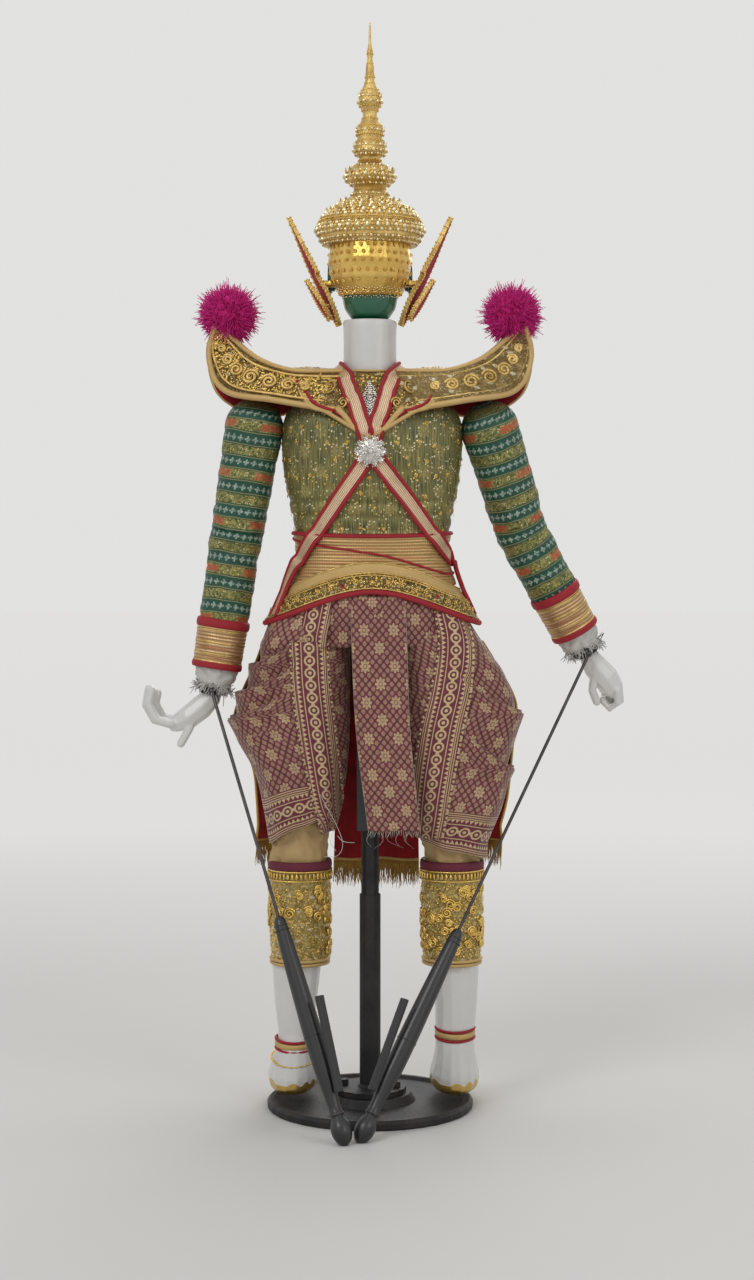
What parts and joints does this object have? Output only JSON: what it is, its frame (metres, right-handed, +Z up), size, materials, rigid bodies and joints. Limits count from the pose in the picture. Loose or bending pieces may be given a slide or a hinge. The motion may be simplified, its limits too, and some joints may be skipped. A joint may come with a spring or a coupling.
{
  "type": "rod puppet",
  "caption": "Thai rod puppet of a classical dancer on a black iron stand, in a tall gilded crown, sequinned wings, green brocade and maroon trousers, worked by hand rods with triggers.",
  "frame": {"origin": "centre of the base plate's underside", "axes": "+Z up through the spire, +Y the way the puppet faces, -X the puppet's left side"},
  "size_m": [0.4582, 0.246, 1.012],
  "materials": {
    "black_iron": "worn black coating, low sheen",
    "rod_steel": "darkened wire",
    "black_lacquer": "turned hardwood with black lacquer",
    "bare_wood": "sanded, unpainted",
    "white_paint": "carved light wood under glossy white paint",
    "green_paint": "carved light wood under glossy green paint",
    "green_brocade": "woven cloth with metallic gold and silver threads",
    "gold_cloth": "stiffened cloth sewn over with gold sequins and cord",
    "red_velvet": "velvet with gold trim and fringe",
    "maroon_brocade": "woven silk with gold lattice flowers",
    "magenta_wool": "clipped wool tuft",
    "gold_leaf": "moulded lacquer paste on a wood shell, gilded and set with glass",
    "linen": "frayed white cotton over black binding"
  },
  "bodies": {
    "stand": {"base_plate": "black_iron", "stand_tube": "black_iron", "flange_bolt_1": "black_iron", "flange_bolt_2": "black_iron"},
    "inner_rod": {"inner_rod": "black_iron"},
    "trunk": {"main_bar": "black_lacquer", "torso": "bare_wood", "jacket": "green_brocade", "neck": "white_paint", "strap_left": "red_velvet", "strap_right": "red_velvet", "waistband": "gold_cloth", "belt": "gold_cloth", "collar": "gold_cloth", "medallion": "gold_leaf", "wing_left": "gold_cloth", "wing_right": "gold_cloth", "pompom_left": "magenta_wool", "pompom_right": "magenta_wool", "front_panel": "red_velvet", "tail_panel": "maroon_brocade"},
    "neck_peg": {"neck_peg": "bare_wood"},
    "head": {"head": "green_paint", "crown_bowl": "gold_leaf", "crown_dome": "gold_leaf", "crown_spire": "gold_leaf", "ear_flare_left": "gold_leaf", "ear_flare_right": "gold_leaf"},
    "left_toggle": {"shoulder_toggle_left": "bare_wood"},
    "left_upper_arm": {"upper_arm_left": "green_brocade"},
    "left_forearm": {"forearm_left": "green_brocade", "cuff_left": "gold_cloth", "rod_strap_left": "black_lacquer"},
    "left_wrist": {"wrist_wrap_left": "linen"},
    "left_hand": {"hand_left": "white_paint"},
    "left_rod_link": {"rod_link_left": "rod_steel"},
    "left_rod": {"rod_handle_left": "black_lacquer", "rod_wire_left": "rod_steel"},
    "left_trigger": {"trigger_left": "black_lacquer"},
    "left_thigh": {"thigh_left": "bare_wood", "trousers_left": "maroon_brocade", "side_panel_left": "red_velvet"},
    "left_lower_leg": {"lower_leg_left": "white_paint", "sock_left": "gold_cloth"},
    "right_toggle": {"shoulder_toggle_right": "bare_wood"},
    "right_upper_arm": {"upper_arm_right": "green_brocade"},
    "right_forearm": {"forearm_right": "green_brocade", "cuff_right": "gold_cloth", "rod_strap_right": "black_lacquer"},
    "right_wrist": {"wrist_wrap_right": "linen"},
    "right_hand": {"hand_right": "white_paint"},
    "right_rod_link": {"rod_link_right": "rod_steel"},
    "right_rod": {"rod_handle_right": "black_lacquer", "rod_wire_right": "rod_steel"},
    "right_trigger": {"trigger_right": "black_lacquer"},
    "right_thigh": {"thigh_right": "bare_wood", "trousers_right": "maroon_brocade", "side_panel_right": "red_velvet"},
    "right_lower_leg": {"lower_leg_right": "white_paint", "sock_right": "gold_cloth"}
  },
  "joints": [
    {"name": "stand_height", "type": "slide", "parent": "stand", "child": "inner_rod", "axis": [0, 0, 1], "range_m": [0, 0.12]},
    {"name": "puppet_turn", "type": "hinge", "parent": "inner_rod", "child": "trunk", "pos_m": [0, 0, 0.3], "axis": [0, 0, 1], "continuous": true},
    {"name": "head_turn", "type": "hinge", "parent": "trunk", "child": "neck_peg", "pos_m": [0, 0, 0.758], "axis": [0, 0, 1], "range_deg": [-45, 45]},
    {"name": "head_nod", "type": "hinge", "parent": "neck_peg", "child": "head", "pos_m": [0, 0, 0.758], "axis": [1, 0, 0], "range_deg": [-10, 12]},
    {"name": "left_shoulder_swing", "type": "hinge", "parent": "trunk", "child": "left_toggle", "pos_m": [-0.108, 0, 0.638], "axis": [1, 0, 0], "range_deg": [-35, 0]},
    {"name": "left_shoulder_raise", "type": "hinge", "parent": "left_toggle", "child": "left_upper_arm", "pos_m": [-0.108, 0, 0.638], "axis": [0.7073, 0.7069, 0], "range_deg": [0, 60]},
    {"name": "left_elbow", "type": "hinge", "parent": "left_upper_arm", "child": "left_forearm", "pos_m": [-0.126, 0.004, 0.53], "axis": [0.7073, 0.7069, 0], "range_deg": [0, 70]},
    {"name": "left_wrist_twist", "type": "hinge", "parent": "left_forearm", "child": "left_wrist", "pos_m": [-0.147, 0, 0.393], "axis": [-0.1515, -0.0289, -0.988], "range_deg": [-30, 30]},
    {"name": "left_wrist_flex", "type": "hinge", "parent": "left_wrist", "child": "left_hand", "pos_m": [-0.14791, -0.00017, 0.38707], "axis": [0, -1, 0], "range_deg": [0, 30]},
    {"name": "left_rod_swing", "type": "hinge", "parent": "left_forearm", "child": "left_rod_link", "pos_m": [-0.14692, -0.01799, 0.39351], "axis": [0.7073, 0.7069, 0], "range_deg": [0, 24]},
    {"name": "left_rod_lift", "type": "hinge", "parent": "left_rod_link", "child": "left_rod", "pos_m": [-0.14692, -0.01799, 0.39351], "axis": [1, 0, 0], "range_deg": [-45, 0]},
    {"name": "left_trigger_squeeze", "type": "hinge", "parent": "left_rod", "child": "left_trigger", "pos_m": [-0.02688, -0.13812, 0.04673], "axis": [-0.7071, -0.7071, 0.0001], "range_deg": [0, 7]},
    {"name": "left_hip", "type": "hinge", "parent": "trunk", "child": "left_thigh", "pos_m": [-0.055, 0, 0.44], "axis": [0.9061, 0.423, 0], "range_deg": [-4, 24]},
    {"name": "left_knee", "type": "hinge", "parent": "left_thigh", "child": "left_lower_leg", "pos_m": [-0.067, 0, 0.248], "axis": [1, 0, 0], "range_deg": [-18, 0]},
    {"name": "right_shoulder_swing", "type": "hinge", "parent": "trunk", "child": "right_toggle", "pos_m": [0.112, 0, 0.636], "axis": [1, 0, 0], "range_deg": [-35, 0]},
    {"name": "right_shoulder_raise", "type": "hinge", "parent": "right_toggle", "child": "right_upper_arm", "pos_m": [0.112, 0, 0.636], "axis": [0.5981, -0.8014, 0], "range_deg": [0, 60]},
    {"name": "right_elbow", "type": "hinge", "parent": "right_upper_arm", "child": "right_forearm", "pos_m": [0.143, 0.025, 0.541], "axis": [0.5981, -0.8014, 0], "range_deg": [0, 70]},
    {"name": "right_wrist_twist", "type": "hinge", "parent": "right_forearm", "child": "right_wrist", "pos_m": [0.206, 0.045, 0.428], "axis": [0.4812, 0.1528, -0.8632], "range_deg": [-30, 30]},
    {"name": "right_wrist_flex", "type": "hinge", "parent": "right_wrist", "child": "right_hand", "pos_m": [0.20889, 0.04592, 0.42282], "axis": [0, -1, 0], "range_deg": [0, 30]},
    {"name": "right_rod_swing", "type": "hinge", "parent": "right_forearm", "child": "right_rod_link", "pos_m": [0.20734, 0.02721, 0.4256], "axis": [0.5, -0.866, 0], "range_deg": [0, 32]},
    {"name": "right_rod_lift", "type": "hinge", "parent": "right_rod_link", "child": "right_rod", "pos_m": [0.20734, 0.02721, 0.4256], "axis": [1, 0, 0], "range_deg": [-45, 0]},
    {"name": "right_trigger_squeeze", "type": "hinge", "parent": "right_rod", "child": "right_trigger", "pos_m": [0.0019, -0.12612, 0.04508], "axis": [-0.5978, 0.8016, -0.0002], "range_deg": [0, 7]},
    {"name": "right_hip", "type": "hinge", "parent": "trunk", "child": "right_thigh", "pos_m": [0.055, 0, 0.44], "axis": [0.9061, -0.423, 0], "range_deg": [-4, 24]},
    {"name": "right_knee", "type": "hinge", "parent": "right_thigh", "child": "right_lower_leg", "pos_m": [0.078, 0, 0.248], "axis": [1, 0, 0], "range_deg": [-18, 0]}
  ],
  "couplings": [
    {"joint": "left_trigger_squeeze", "follows": "left_wrist_flex", "ratio": 0.2},
    {"joint": "right_trigger_squeeze", "follows": "right_wrist_flex", "ratio": 0.2}
  ]
}
